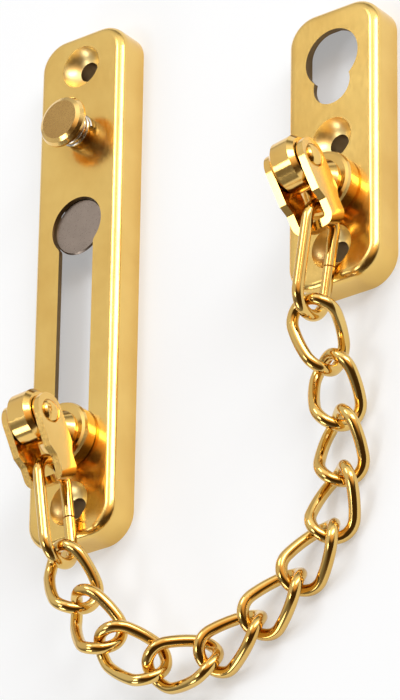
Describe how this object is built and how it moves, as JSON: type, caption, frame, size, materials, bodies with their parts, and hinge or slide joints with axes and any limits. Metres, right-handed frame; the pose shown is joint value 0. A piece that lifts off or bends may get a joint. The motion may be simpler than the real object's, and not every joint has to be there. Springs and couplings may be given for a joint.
{
  "type": "door chain",
  "caption": "Security door chain: slotted track plate with a sprung lock knob, sliding swivel stud, twisted curb chain on shackles, and a short anchor plate with a keyhole.",
  "frame": {"origin": "midway between the track plate's two screw holes, on its mounting face", "axes": "+X across the plates towards the anchor plate, +Y along the plates towards the lock knob, +Z out of the mounting face"},
  "size_m": [0.0823, 0.148, 0.0237],
  "materials": {
    "plate_brass": "satin polished brass plate",
    "turned_brass": "mirror polished brass",
    "chain_brass": "mirror polished brass wire",
    "knob_brass": "dull bronzed brass",
    "plain_steel": "plain spring steel"
  },
  "bodies": {
    "chain_link_01": {"chain_link_01": "chain_brass"},
    "chain_link_02": {"chain_link_02": "chain_brass"},
    "chain_link_03": {"chain_link_03": "chain_brass"},
    "chain_link_04": {"chain_link_04": "chain_brass"},
    "chain_link_05": {"chain_link_05": "chain_brass"},
    "chain_link_06": {"chain_link_06": "chain_brass"},
    "chain_link_07": {"chain_link_07": "chain_brass"},
    "chain_link_08": {"chain_link_08": "chain_brass"},
    "chain_link_09": {"chain_link_09": "chain_brass"},
    "chain_link_10": {"chain_link_10": "chain_brass"},
    "chain_link_11": {"chain_link_11": "chain_brass"},
    "slider_end_link": {"slider_end_link": "chain_brass"},
    "slider_shackle": {"slider_shackle": "turned_brass", "slider_rivet": "turned_brass"},
    "slider_eye": {"slider_eye": "turned_brass"},
    "slider_spool": {"slider_spool": "turned_brass"},
    "track_plate": {"track_plate": "plate_brass", "lock_spring": "plain_steel"},
    "lock": {"lock_knob": "knob_brass", "lock_bar": "plain_steel", "lock_plug": "knob_brass"},
    "anchor_end_link": {"anchor_end_link": "chain_brass"},
    "anchor_shackle": {"anchor_shackle": "turned_brass", "anchor_rivet": "turned_brass"},
    "anchor_eye": {"anchor_eye": "turned_brass"},
    "anchor_plate": {"anchor_plate": "plate_brass", "anchor_spool": "turned_brass"}
  },
  "joints": [
    {"name": "bend_chain_link_05", "type": "hinge", "parent": "chain_link_06", "child": "chain_link_05", "pos_m": [0.04166, -0.08194, 0.00306], "axis": [0, 0, 1], "range_deg": [-10, 30]},
    {"name": "bend_chain_link_04", "type": "hinge", "parent": "chain_link_05", "child": "chain_link_04", "pos_m": [0.03178, -0.08676, 0.00355], "axis": [0, 0, -1], "range_deg": [-30, 7]},
    {"name": "bend_chain_link_03", "type": "hinge", "parent": "chain_link_04", "child": "chain_link_03", "pos_m": [0.02101, -0.08676, 0.00578], "axis": [0, 0, 1], "range_deg": [-4, 30]},
    {"name": "bend_chain_link_02", "type": "hinge", "parent": "chain_link_03", "child": "chain_link_02", "pos_m": [0.01281, -0.08102, 0.01034], "axis": [0, 0, -1], "range_deg": [-30, 7]},
    {"name": "bend_chain_link_01", "type": "hinge", "parent": "chain_link_02", "child": "chain_link_01", "pos_m": [0.00683, -0.0718, 0.01093], "axis": [0, 0, 1], "range_deg": [-10, 30]},
    {"name": "bend_slider_end_link", "type": "hinge", "parent": "chain_link_01", "child": "slider_end_link", "pos_m": [0.00274, -0.0617, 0.01238], "axis": [0, 0, -1], "range_deg": [-30, 10]},
    {"name": "bend_chain_link_07", "type": "hinge", "parent": "chain_link_06", "child": "chain_link_07", "pos_m": [0.05078, -0.07579, 0.00306], "axis": [0, 0, -1], "range_deg": [-10, 30]},
    {"name": "bend_chain_link_08", "type": "hinge", "parent": "chain_link_07", "child": "chain_link_08", "pos_m": [0.05842, -0.06788, 0.00306], "axis": [0, 0, 1], "range_deg": [-30, 10]},
    {"name": "bend_chain_link_09", "type": "hinge", "parent": "chain_link_08", "child": "chain_link_09", "pos_m": [0.06108, -0.0572, 0.00306], "axis": [0, 0, -1], "range_deg": [-10, 30]},
    {"name": "bend_chain_link_10", "type": "hinge", "parent": "chain_link_09", "child": "chain_link_10", "pos_m": [0.06127, -0.04623, 0.00382], "axis": [0, 0, 1], "range_deg": [-30, 10]},
    {"name": "bend_chain_link_11", "type": "hinge", "parent": "chain_link_10", "child": "chain_link_11", "pos_m": [0.06052, -0.03546, 0.00592], "axis": [0, 0, -1], "range_deg": [-10, 28]},
    {"name": "bend_anchor_end_link", "type": "hinge", "parent": "chain_link_11", "child": "anchor_end_link", "pos_m": [0.0602, -0.02637, 0.0121], "axis": [0, 0, 1], "range_deg": [-15, 30]},
    {"name": "slider_shackle_swing", "type": "hinge", "parent": "slider_end_link", "child": "slider_shackle", "pos_m": [0.00077, -0.04562, 0.01277], "axis": [0, 0, 1], "range_deg": [-10, 15]},
    {"name": "slider_pivot", "type": "hinge", "parent": "slider_shackle", "child": "slider_eye", "pos_m": [0, -0.0346, 0.0184], "axis": [0.9976, 0.0698, 0], "range_deg": [0, 110]},
    {"name": "slider_swivel", "type": "hinge", "parent": "slider_eye", "child": "slider_spool", "pos_m": [0, -0.0346, 0.0105], "axis": [0, 0, 1], "range_deg": [-16, 104]},
    {"name": "slider_travel", "type": "slide", "parent": "slider_spool", "child": "track_plate", "axis": [0, -1, 0], "range_m": [0, 0.0366]},
    {"name": "lock_press", "type": "slide", "parent": "track_plate", "child": "lock", "axis": [0, 0, -1], "range_m": [0, 0.002], "stiffness_N_per_m": 1500, "springref_m": -0.001, "deforming": ["lock_spring"]},
    {"name": "anchor_shackle_swing", "type": "hinge", "parent": "anchor_end_link", "child": "anchor_shackle", "pos_m": [0.06301, -0.01042, 0.01258], "axis": [0, 0, 1], "range_deg": [-26, 3]},
    {"name": "anchor_pivot", "type": "hinge", "parent": "anchor_shackle", "child": "anchor_eye", "pos_m": [0.0613, 0.00039, 0.0184], "axis": [0.9877, 0.1564, 0], "range_deg": [0, 110]},
    {"name": "anchor_swivel", "type": "hinge", "parent": "anchor_eye", "child": "anchor_plate", "pos_m": [0.0613, 0.00039, 0.0105], "axis": [0, 0, 1], "range_deg": [-91, 109]}
  ]
}
